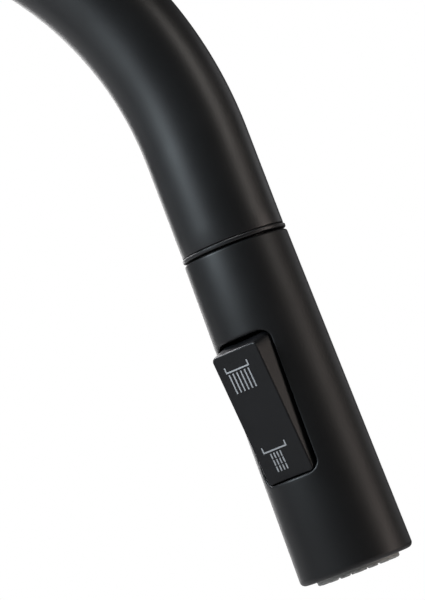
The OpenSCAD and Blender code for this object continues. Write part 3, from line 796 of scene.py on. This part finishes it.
shell = {
    "length": 96.6,
    "topRadius": 15.5,
    "endRadius": 16.85,
    "wall": 1.6,
    "mouth": 11.1,
    "topEdge": 0.6,
    "rimEdge": 1.6,
    "lip": 0.3,
    "slotWidth": 18.9,
    "slotLength": 42,
    "slotCorner": 3,
    "slotEdge": 0.65,
    "windowHalf": 0.98,
    "windowMargin": 4.6,
    "across": 30,
    "along": 64,
    "mouthDepth": 2,
}


def makeShell(size):
    length, wall, top, rim = pick(size, "length wall topRadius endRadius")
    slope = (rim - top) / length
    centre = -layout["pivotDrop"]
    low = centre - size["slotLength"] / 2 - size["windowMargin"]
    high = centre + size["slotLength"] / 2 + size["windowMargin"]

    def outerAt(z):
        return top - slope * z

    def innerAt(z):
        return outerAt(z) - wall

    across, along = pick(size, "across along")
    outline = boxOutline(size["slotWidth"], size["slotLength"], size["slotCorner"], across, along)
    opening = {"turn": 0, "centre": centre, "outline": outline, "half": size["windowHalf"],
        "across": across, "along": along, "morph": 5, "rings": filletRings(size["slotEdge"])
        + [(1.2, 0, None), (2.2, 0, None)]}
    inside = dict(opening, rings=[(0, 0, None), (0.6, 0, None)])
    bm = bmesh.new()
    angles = piercedWall(bm, atRockerSide, outerAt, low, high, [opening], around=112)
    piercedWall(bm, atRockerSide, innerAt, low, high, [inside], around=112)
    wallRows = []
    for radiusAt, drop in ((outerAt, size["slotEdge"]), (innerAt, 0)):
        row = []
        for y, z in outline(0):
            z += centre
            x = sqrt(radiusAt(z) * radiusAt(z) - y * y) - drop
            row.append(spot(atRockerSide, x, y, z))
        wallRows.append(row)
    sheetOf(bm, wallRows, loop=True)
    edge, depth = pick(size, "rimEdge mouthDepth")
    above = rounded([(innerAt(high), high, 0), (outerAt(high), high, 0), (top, 0, size["topEdge"]),
        (size["mouth"], 0, 0.2), (size["mouth"], -depth, 0), (top - wall, -depth, 0)], 6)
    ringRows(bm, atRockerSide, above[1:] + above[:1], angles)
    below = [(outerAt(low), low)]
    for k in range(11):
        a = pi / 2 * k / 10
        below.append((rim - edge * (1 - cos(a)), edge * (1 - sin(a)) - length))
    lip = size["lip"] - length
    below += [(rim - edge - 0.1, lip), (innerAt(lip) - 0.3, depth - length), (innerAt(low), low)]
    ringRows(bm, atRockerSide, below, angles)
    piece = place("wandShell", bm, "wand", "shell_black", 40)
    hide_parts("wand_shell")


makeShell(shell)
print("wand shell is made")


# Rocker: a drafted block with fine rounded edges and a hollow back

rocker = {
    "faceOut": 7.75,
    "faceWidth": 16.3,
    "faceLength": 39.2,
    "faceShift": -0.35,
    "faceCorner": 1.25,
    "edge": 0.36,
    "baseOut": 0.45,
    "baseWidth": 18.3,
    "baseLength": 41.5,
    "baseCorner": 2.8,
    "wall": 1.4,
    "rib": (6.6, 6),
    "ribFoot": -2.6,
}


def makeRocker(size):
    faceOut, faceWidth, faceLength, faceCorner = pick(size, "faceOut faceWidth faceLength faceCorner")
    baseOut, edge, skin = pick(size, "baseOut edge wall")
    depth = faceOut - baseOut
    bm = bmesh.new()

    def level(out, width, length, corner):
        at = boxOutline(width, length, corner, 24, 60)
        shift = size["faceShift"] * (out - baseOut) / depth
        return [spot(atRocker, out, y, z + shift) for y, z in at(0)]

    rows = []
    for share in (0.0, 0.04, 0.5, 0.96, 1.0):
        keep = 1 - share * (1 - edge / depth)
        sizes = [size["face" + k] + (size["base" + k] - size["face" + k]) * keep
            for k in ("Width", "Length", "Corner")]
        rows.append(level(baseOut + depth * (1 - keep), *sizes))
    for k in range(1, 7):
        a = pi / 2 * k / 6
        inset = edge * (1 - cos(a))
        rows.append(level(faceOut - edge * (1 - sin(a)), faceWidth - 2 * inset, faceLength - 2 * inset,
            faceCorner - inset))
    for inset in (edge + 0.12, 1.2, 2.5, 5):
        rows.append(level(faceOut, faceWidth - 2 * inset, faceLength - 2 * inset,
            max(faceCorner - inset, 0.2)))
    back = [level(baseOut, size["baseWidth"] - 2 * skin, size["baseLength"] - 2 * skin, 1.6),
        level(faceOut - skin, faceWidth - 2 * skin, faceLength - 2 * skin, 0.6)]
    made = sheetOf(bm, back[::-1] + rows, loop=True)
    bm.faces.new(made[-1])
    bm.faces.new(made[0])
    rib = boxOutline(*size["rib"], 0.4, 4, 4)(0)
    ends = sheetOf(bm, [[spot(atRocker, x, y, z) for y, z in rib]
        for x in (size["ribFoot"], faceOut - skin - 0.02)], loop=True)
    bm.faces.new(ends[0])
    bm.faces.new(ends[1])
    bmesh.ops.triangulate(bm, faces=[f for f in bm.faces if len(f.verts) > 4])
    piece = place("rockerButton", bm, "rocker", "button_black", 40)
    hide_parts("rocker_button")


makeRocker(rocker)


# Printed signs on the rocker: a tray over even jets, a tray over broken jets

signs = {
    "stroke": 0.44,
    "rise": 0.05,
    "tray": {"width": 8.6, "ends": 1.6},
    "jets": {"centre": -1.05, "tray": 14.0, "top": 13.3, "columns": 6, "gap": 1.41, "rows": 1,
             "length": 5.75, "break": 0, "shift": 0},
    "drops": {"centre": -0.98, "tray": -10.7, "top": -11.45, "columns": 4, "gap": 1.15, "rows": 3,
              "length": 1.66, "break": 0.3, "shift": -0.32},
}


def barMesh(bm, x0, x1, y0, y1, z0, z1, where):
    bmesh.ops.create_cube(bm, size=1, matrix=where @ Matrix.Translation(Vector(((x0 + x1) / 2,
        (y0 + y1) / 2, (z0 + z1) / 2)) * mm) @ Matrix.Diagonal(Vector(((x1 - x0) * mm, (y1 - y0) * mm,
        (z1 - z0) * mm, 1))))


def bevelledBar(name, box, edge, segments=1, profile=0):
    bm = bmesh.new()
    barMesh(bm, *box, upright)
    bmesh.ops.bevel(bm, geom=bm.edges[:], offset=edge * mm, segments=segments, profile=profile,
        affect="EDGES")
    return plainMesh(name, bm)


def makeSigns(size):
    face, half = rocker["faceOut"], size["stroke"] / 2
    for name in ("jets", "drops"):
        sign = size[name]
        bm = bmesh.new()
        middle, tray = sign["centre"], size["tray"]
        barMesh(bm, face - 0.02, face + size["rise"], middle - tray["width"] / 2,
            middle + tray["width"] / 2, sign["tray"] - half, sign["tray"] + half, atRocker)
        for side in (-1, 1):
            edge = middle + side * (tray["width"] / 2 - half)
            barMesh(bm, face - 0.02, face + size["rise"] * 0.98, edge - half, edge + half,
                sign["tray"] + half * 0.6, sign["tray"] + tray["ends"], atRocker)
        place(name + "Tray", bm, "rocker", "button_black", finish=printGrey)
        bar = bmesh.new()
        barMesh(bar, -0.02, size["rise"], -half, half, -sign["length"] / 2, sign["length"] / 2, upright)
        step = sign["length"] + sign["break"]
        centreHeight = sign["top"] - (sign["rows"] * step - sign["break"]) / 2
        where = atRocker @ Matrix.Translation(Vector((face, middle + sign["shift"], centreHeight)) * mm)
        grow(name + "Lines", plainMesh("bar", bar), rowTree(name + "Rows", printGrey),
            {"Columns": sign["columns"], "Column Gap": sign["gap"] * mm, "Rows": sign["rows"],
            "Row Gap": step * mm}, "rocker", "button_black", where=where, finish=printGrey)


makeSigns(signs)
print("rocker and its signs are made")


# Spray face: grey plate with its rings of soft nozzles

sprayFace = {
    "plateLow": -97.5,
    "plateHigh": -93.5,
    "plateOuter": 12.3,
    "plateInner": 8.5,
    "rows": [(10.65, 1.6, 16, 0), (9.2, 0.55, 16, 0.5)],
    "stand": 0.45,
    "hole": 0.35,
}


def makeSprayFace(size):
    low = size["plateLow"]
    piece = turned("nozzlePlate", [(size["plateInner"], low, 0.15), (size["plateOuter"], low, 0.35),
        (size["plateOuter"], size["plateHigh"], 0), (size["plateInner"], size["plateHigh"], 0)], atWand,
        "wand", "nozzle_silicone")
    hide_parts("nozzle_plate")
    tip, hole = -size["stand"], size["hole"]
    for number, (radius, width, count, shift) in enumerate(size["rows"]):
        bm = bmesh.new()
        outline = [(0, 0.1, 0), (width * 1.06, 0.1, 0), (width, -0.12, 0.1),
            (width * 0.78, tip, width * 0.2), (hole, tip, 0.05), (hole * 0.8, tip + 0.5, 0),
            (0, tip + 0.5, 0)]
        sweepRound(bm, rounded(outline, 3), upright, 20)
        start = radians(-90) + 2 * pi * shift / count
        ringOf("nozzles%d" % number, plainMesh("nozzle", bm), count, "wand", "nozzle_silicone", atWand,
            radius, start, low)


makeSprayFace(sprayFace)
print("spray face is made")


# Body of the faucet with its side boss, base ring and the collar the neck turns in

body = {
    "footRadius": 25.5,
    "topRadius": 22,
    "foot": 7.5,
    "top": 138,
    "topEdge": 1.0,
    "socket": 17.45,
    "socketFloor": 104,
    "bossRadius": 16.2,
    "bossEnd": 40,
    "bossFillet": 1.8,
    "band": (38, 120),
    "screwHeight": 108.8,
    "screwHole": 2.5,
    "screwDepth": 17.75,
    "bossDepth": 8.5,
    "bossShelf": 35.5,
    "bore": 16.25,
    "boreTop": 34.1,
}


def roundHole(turn, centre, radius, half, across, along, morph, rings):
    return {"turn": turn, "centre": centre, "half": half, "across": across, "along": along, "morph": morph,
        "outline": boxOutline(2 * radius, 2 * radius, radius, across, along), "cap": True, "rings": rings}


def makeBody(size):
    low, high = size["band"]
    fall = (size["footRadius"] - size["topRadius"]) / (size["top"] - 1 - size["foot"])

    def radiusAt(z):
        return size["footRadius"] - fall * (z - size["foot"])

    along, end, shelf = 72, size["bossEnd"], size["bossShelf"]
    bossRings = [(-3.1, 0, size["bossDepth"]), (-3.1, 0, shelf), (-1.6, 0, shelf), (-1.6, 0, end - 0.4),
        (-1.2, 0, end), (-0.3, 0, end), (0, 0, end - 0.3), (0, size["bossFillet"] + 0.4, None)]
    bossRings += filletRings(size["bossFillet"], 1, 8) + [(2.3, 0, None)]
    screwRings = [(0, 0, size["screwDepth"]), (0, -0.5, None)] + filletRings(0.3, -1, 4) + [(0.6, 0, None)]
    boss = roundHole(pi / 2, layout["leverHeight"], size["bossRadius"], 1.04, 36, along, 6, bossRings)
    hole = roundHole(pi, size["screwHeight"], size["screwHole"], 0.3, 12, along, 4, screwRings)
    bm = bmesh.new()
    angles = piercedWall(bm, upright, radiusAt, low, high, [boss, hole], around=128)
    above = rounded([(0, high, 0), (radiusAt(high), high, 0),
        (size["topRadius"], size["top"], size["topEdge"]), (size["socket"], size["top"], 0.2),
        (size["socket"], size["socketFloor"], 0), (0, size["socketFloor"], 0)], 6)
    ringRows(bm, upright, above[1:], angles)
    below = rounded([(0, low, 0), (radiusAt(low), low, 0), (size["footRadius"], size["foot"], 0.5),
        (size["bore"], size["foot"], 0), (size["bore"], size["boreTop"], 0), (0, size["boreTop"], 0)], 4)
    ringRows(bm, upright, below[1:], angles)
    piece = place("valveBody", bm, "base", "body_black", 40)
    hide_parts("valve_body")


makeBody(body)
baseRing = {"inner": 17, "outer": 27, "low": 1.5, "high": 7.5, "topEdge": 1.2, "lowEdge": 0.3}
piece = turned("baseRing", [(baseRing["inner"], baseRing["low"], 0),
    (baseRing["outer"], baseRing["low"], baseRing["lowEdge"]),
    (baseRing["outer"], baseRing["high"], baseRing["topEdge"]), (baseRing["inner"], baseRing["high"], 0)],
    upright, "base", "body_black", steps=128)
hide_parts("base_ring")
glide = {"inner": 15.3, "outer": 18.15, "low": 138, "high": 139.2, "edge": 0.45, "skirt": 17.45,
    "skirtLow": 132}
piece = turned("glideRing", [(glide["inner"], glide["skirtLow"], 0),
    (glide["skirt"], glide["skirtLow"], 0.3), (glide["skirt"], glide["low"], 0),
    (glide["outer"], glide["low"], 0.1), (glide["outer"], glide["high"], glide["edge"]),
    (glide["inner"], glide["high"], 0.35)], upright, "base", "dark_plastic", steps=128)
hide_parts("glide_ring_top")
print("body is made")


# Lever: ball cover, hub, rod and index cap

hub = {
    "radius": 21.5,
    "back": 34.5,
    "face": 57,
    "faceEdge": 1.5,
    "backEdge": 0.5,
    "cavity": 19,
    "band": (43, 55.3),
    "rodRadius": 4.5,
    "rodHeight": 49,
    "capHole": 3,
    "capHeight": 51.5,
    "rodSeat": 19.4,
    "capSeat": 18.9,
    "flat": 12,
}
cover = {"ball": 18.5, "wall": 1.5, "mouth": 14.2, "back": 33, "bore": 16.25, "boreEnd": 40, "edge": 0.3}


def arcPoints(radius, centre, fromAngle, toAngle, steps):
    return [(radius * sin(a), centre + radius * cos(a), 0)
        for a in (fromAngle + (toAngle - fromAngle) * k / steps for k in range(steps + 1))]


def makeCover(size, centre):
    outer, mouth, bore, back, boreEnd = pick(size, "ball mouth bore back boreEnd")
    inner = outer - size["wall"]
    start, stop = acos((back - centre) / outer), asin(mouth / outer)
    outline = [(bore, back, 0.2)] + arcPoints(outer, centre, start, stop + 0.02, 28)
    outline += [(mouth, centre + sqrt(outer ** 2 - mouth ** 2) - 0.25, 0.2)]
    outline += arcPoints(inner, centre, asin(mouth / inner), acos((boreEnd - centre) / inner), 12)
    outline += [(bore, boreEnd, 0)]
    piece = turned("ballCover", outline, atLever, "base", "body_black", steps=128)
    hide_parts("bonnet")


def makeHub(size):
    low, high = size["band"]
    radius, along = size["radius"], 24
    rodRings = [(0, 0, size["rodSeat"]), (0, -0.8, None)] + filletRings(0.35, -1, 5) + [(0.6, 0, None)]
    capRings = [(0, 0, size["capSeat"]), (0, -0.6, None)] + filletRings(0.2, -1, 5) + [(0.35, 0, None)]
    rodHole = roundHole(-pi / 2, size["rodHeight"], size["rodRadius"], 0.34, 24, along, 3, rodRings)
    capHole = roundHole(pi / 2, size["capHeight"], size["capHole"], 0.24, 24, along, 3, capRings)
    bm = bmesh.new()
    angles = piercedWall(bm, atLever, lambda z: radius, low, high, [rodHole, capHole], around=128)
    above = rounded([(0, high, 0), (radius, high, 0), (radius, size["face"], size["faceEdge"]),
        (size["flat"], size["face"], 0), (0, size["face"], 0)], 8)
    ringRows(bm, atLever, above[1:], angles)
    rim = rounded([(0, low, 0), (radius, low, 0), (radius, size["back"], size["backEdge"]),
        (size["cavity"], size["back"], 0.3), (size["cavity"] - 0.02, size["back"] + 2, 0)], 5)[1:-1]
    cavity = [(r, z) for r, z, _ in arcPoints(size["cavity"], size["back"], pi / 2 - 0.05, 0, 20)]
    ringRows(bm, atLever, rim + cavity, angles)
    piece = place("leverHub", bm, "lever", "body_black", 40)
    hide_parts("handle_hub")


makeCover(cover, hub["back"])
makeHub(hub)
lever = {"root": 4.45, "tip": 3.7, "start": 16.4, "hub": 21.5, "length": 85, "groove": 0.28,
    "grooveFrom": 1.2, "grooveTo": 1.7}


def acrossHub(height, turn):
    return atLever @ Matrix.Translation((0, 0, height * mm)) @ Matrix.Rotation(turn, 4, "X")


def makeLeverRod(size):
    root, start, tip = pick(size, "root start tip")
    low, high = size["hub"] + size["grooveFrom"], size["hub"] + size["grooveTo"]
    waist = root - size["groove"]
    outline = [(0, start, 0), (root, start, 0.2), (root, low, 0.1), (waist, low, 0.05), (waist, high, 0.05),
        (root, high, 0.1)]
    outline += arcPoints(tip, size["hub"] + size["length"] - tip, pi / 2, 0, 12)
    return turned("leverRod", outline, acrossHub(hub["rodHeight"], pi / 2), "lever", "body_black", steps=72)


piece = makeLeverRod(lever)
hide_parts("lever_rod")
cap = {"radius": 2.95, "low": 18.9, "high": 21.4, "edge": 0.35, "dish": 0.25, "rim": 0.8, "rimFoot": 1.1}


def makeIndexCap(size):
    radius, high, floor = size["radius"], size["high"], size["high"] - size["dish"]
    outline = [(0, size["low"], 0), (radius, size["low"], 0), (radius, high, size["edge"]),
        (radius - size["rim"], high, 0.2), (radius - size["rimFoot"], floor, 0.2), (0, floor, 0)]
    return turned("indexCap", outline, acrossHub(hub["capHeight"], -pi / 2), "lever", "index_chrome",
        steps=64)


piece = makeIndexCap(cap)
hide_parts("index_cap")
print("lever is made")


# Mounting below the deck: gaskets, threaded shank, washer and wing nut

mounting = {
    "deck": 30,
    "shankRadius": 16.2,
    "plainRadius": 16.5,
    "shankBore": 14,
    "shankLow": -62,
    "shankTop": 20,
    "pitch": 1.5,
    "threadDepth": 0.75,
    "chamfer": 0.9,
    "rowsPerPitch": 8,
    "runOut": 1.2,
}


def makeShank(size):
    low, deck, outer = size["shankLow"], -size["deck"], size["shankRadius"]
    count = round((deck - low) / size["pitch"] * size["rowsPerPitch"])
    bore, plain, chamfer, top = pick(size, "shankBore plainRadius chamfer shankTop")
    outline = [(bore, low + 0.5), (bore + 0.5, low), (outer - chamfer, low)]
    outline += [(outer, low + chamfer + (deck - low - chamfer) * k / count) for k in range(count + 1)]
    outline += [(plain, deck + 0.3), (plain, -0.05), (outer, 0.25), (outer, top), (bore, top)]
    bm = bmesh.new()
    sweepRound(bm, outline, upright, 112)
    values = {"Pitch": size["pitch"] * mm, "Depth": size["threadDepth"] * mm, "Outer Radius": outer * mm,
        "Low": (low + 0.2) * mm, "High": (deck - 0.6) * mm, "Run Out": size["runOut"] * mm}
    piece = grow("shank", plainMesh("shankBlank", bm), threadTree(finishes["brass"]), values, "base",
        "brass", 60)
    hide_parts("shank")


def flatRing(name, node, inner, outer, low, high, edge, slotName, bodyName):
    piece = turned(name, [(inner, low, edge), (outer, low, edge), (outer, high, edge), (inner, high, edge)],
        upright, bodyName, slotName, steps=128, arcSteps=4)
    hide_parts(node)


makeShank(mounting)
flatRing("deckGasket", "deck_gasket", 17, 26, 0, 1.5, 0.35, "seal_rubber", "base")
flatRing("underGasket", "under_deck_gasket", 16.8, 26, -32, -30, 0.4, "seal_rubber", "deck_clamp")
flatRing("clampWasher", "clamp_washer", 16.8, 27, -34, -32, 0.25, "steel", "deck_clamp")

wingNut = {
    "top": -34,
    "flange": 24.5,
    "flangeThick": 5,
    "core": 19.5,
    "height": 13,
    "bore": 16.3,
    "wings": 6,
    "wingThick": 4,
    "wingReach": (18, 23.5),
    "wingHeight": 10,
    "wingEdge": 0.7,
}


def makeWingNut(size):
    top, low, under = size["top"], size["top"] - size["height"], size["top"] - size["flangeThick"]
    bore, core, flange = pick(size, "bore core flange")
    piece = turned("wingNut", [(bore, low, 0.7), (core, low, 0.6), (core, under, 0.8), (flange, under, 0.6),
        (flange, top, 0.4), (bore, top, 0.6)], upright, "deck_clamp", "brass", steps=128)
    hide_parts("mounting_nut")
    half = size["wingThick"] / 2
    wing = bevelledBar("wing", (*size["wingReach"], -half, half, low, low + size["wingHeight"]),
        size["wingEdge"], 3, 0.5)
    ringOf("nutWings", wing, size["wings"], "deck_clamp", "brass", start=pi / size["wings"])


makeWingNut(wingNut)

coupling = {
    "place": (0, -8, -92),
    "radius": 7.4,
    "neckRadius": 6.6,
    "height": 20,
    "length": 30,
    "mouth": 5.05,
    "ribs": 40,
    "ribZone": (4, 14),
    "ribHalf": 0.27,
    "ribEdge": 0.14,
    "waist": 0.35,
    "mouthDepth": 14,
    "way": 3.4,
    "hose": 5.3,
    "hoseDepth": 26,
}


def makeCoupling(size):
    where = Matrix.Translation(Vector(size["place"]) * mm)
    low, high = size["ribZone"]
    radius, mouth, neckRadius, height, length, hose = pick(size, "radius mouth neckRadius height length hose")
    waist = radius - size["waist"]
    outline = [(mouth, 0, 0.4), (radius, 0, 0.5), (radius, low - 0.8, 0.2), (waist, low - 0.6, 0),
        (waist, high + 0.6, 0), (radius, high + 0.8, 0.2), (radius, height, 0.5), (neckRadius, height, 0.3),
        (neckRadius, length, 0.5), (hose, length, 0.2), (hose, size["hoseDepth"], 0),
        (size["way"], size["hoseDepth"], 0), (size["way"], size["mouthDepth"], 0),
        (mouth, size["mouthDepth"], 0)]
    piece = turned("hoseCoupling", outline, where, "base", "brass", steps=80, arcSteps=4)
    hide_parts("hose_coupling")
    half = size["ribHalf"]
    rib = bevelledBar("rib", (radius - 0.6, radius - 0.02, -half, half, low, high), size["ribEdge"])
    ringOf("couplingRibs", rib, size["ribs"], "base", "brass", where)


makeCoupling(coupling)
print("mounting parts are made")


# Hose that pays out with the wand, in a woven sleeve

hoseLead = {"radius": 5.25, "bore": 3.4, "angle": 9.5, "end": 19.45, "arcRings": 10, "stretchRings": 170,
    "around": 40, "pitch": 3.4, "strands": 12}


def makeHoseLead(size):
    run = bendRadius * radians(size["angle"])
    straight = tipStraight - size["end"]
    start = riser + bendRadius * bendAngle - run
    distances = [start + run * k / size["arcRings"] for k in range(size["arcRings"])]
    for k in range(size["stretchRings"] + 1):
        share = k / size["stretchRings"]
        # undoes the soft start and stop of the blend
        eased = 0.5 - sin(asin(1 - 2 * share) / 3)
        distances.append(start + run + straight * eased)
    stations = [(s, size["radius"]) for s in distances] + [(s, size["bore"]) for s in reversed(distances)]
    base = plainMesh("hoseSheet", sheetAlongNeck(stations, size["around"]))
    braid, _, _ = newFinish("leadBraid", (0.05, 0.05, 0.055), 0.45)
    axis = atTip.to_3x3() @ Vector((0, 0, 1))
    braidFinish(braid, atTip.to_translation(), axis, size["pitch"] * mm,
        size["strands"])
    piece = grow("hoseLead", base, alongNeckTree(braid), neckValues, None, "hose_braid", 60, finish=braid)
    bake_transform(piece)
    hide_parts("hose_lead")


makeHoseLead(hoseLead)
braidFinish(finishes["hose_braid"], (0, coupling["place"][1] * mm, 0), (0, 0, 1),
    hoseLead["pitch"] * mm, hoseLead["strands"])
print("hose is made")


# Aerator in the middle of the spray face

aerator = {"inner": 7, "outer": 8.3, "low": -96.4, "high": -85.4, "lip": 6.2, "lipHeight": 0.5,
    "notches": 18, "toothHalf": 0.32, "toothEdge": 0.07}


def makeAerator(size):
    low, high, inner, outer, lip = pick(size, "low high inner outer lip")
    shelf = low + size["lipHeight"]
    piece = turned("aeratorHousing", [(lip, low, 0.15), (outer, low, 0.25), (outer, high, 0),
        (inner, high, 0), (inner, shelf, 0), (lip, shelf, 0.15)], atWand, "wand", "aerator_plastic",
        arcSteps=3)
    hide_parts("aerator_housing")
    half = size["toothHalf"]
    tooth = bevelledBar("tooth", (lip + 0.35, outer - 0.3, -half, half, -0.18, 0.1), size["toothEdge"])
    ringOf("aeratorTeeth", tooth, size["notches"], "wand", "aerator_plastic", atWand, height=low)


makeAerator(aerator)
print("aerator is made")


# Which finish each carried-over node takes

for row in frame["record"]["subparts"]:
    node = frame["nodes"][row["node"]]
    node.data.materials.clear()
    node.data.materials.append(finishes[row["material_slot"]])
print("carried-over nodes have their finishes")
